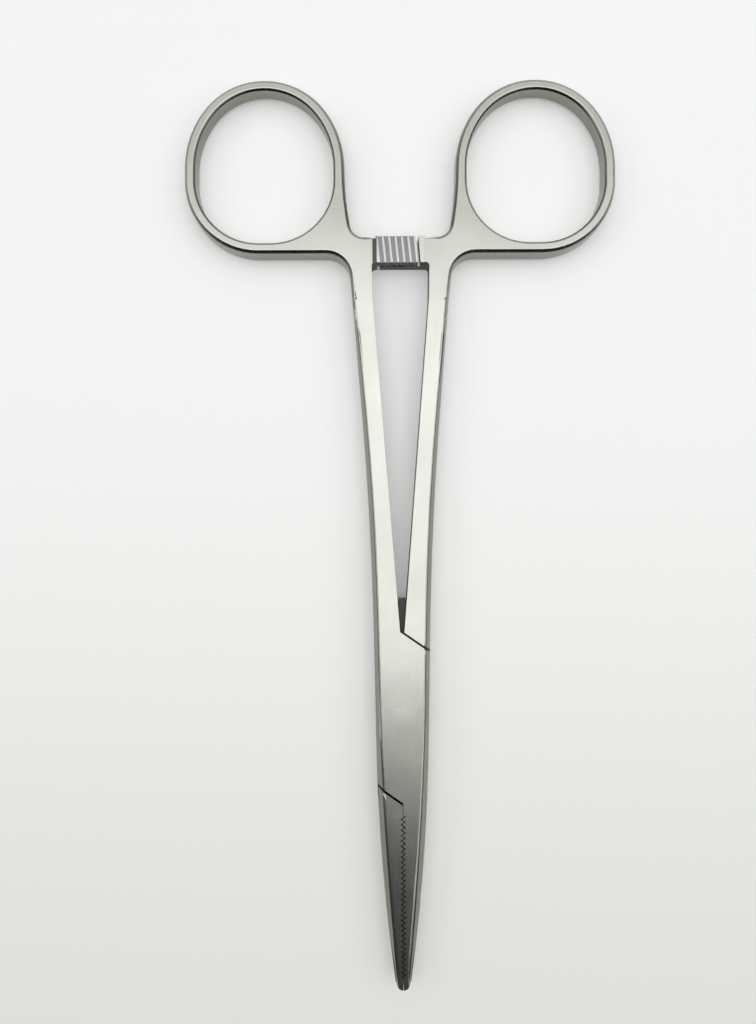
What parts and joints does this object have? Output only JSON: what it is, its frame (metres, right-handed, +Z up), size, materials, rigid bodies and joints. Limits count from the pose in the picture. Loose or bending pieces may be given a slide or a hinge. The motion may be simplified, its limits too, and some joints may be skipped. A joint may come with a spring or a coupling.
{
  "type": "mosquito forceps",
  "caption": "Straight fine-tipped mosquito haemostatic forceps: box lock hinge, serrated jaws, finger rings and a ratchet between the shanks.",
  "frame": {"origin": "on the axis of the box lock pin, at the underside of the box lock, which is the surface the forceps lie on", "axes": "+Y along the closed forceps towards the finger rings, -Y towards the jaw tips, +Z up along the pin's axis, +X to the right as seen from above with the rings away from the viewer"},
  "size_m": [0.059, 0.1253, 0.0044],
  "materials": {
    "satin_steel": "satin stainless steel",
    "pin_steel": "satin stainless steel, ground flush"
  },
  "bodies": {
    "box_half": {"box_half": "satin_steel", "pivot_pin": "pin_steel"},
    "tongue_half": {"tongue_half": "satin_steel"}
  },
  "joints": [
    {"name": "box_lock_pivot", "type": "hinge", "parent": "box_half", "child": "tongue_half", "pos_m": [0, 0, 0], "axis": [0, 0, -1], "range_deg": [0, 40]}
  ]
}
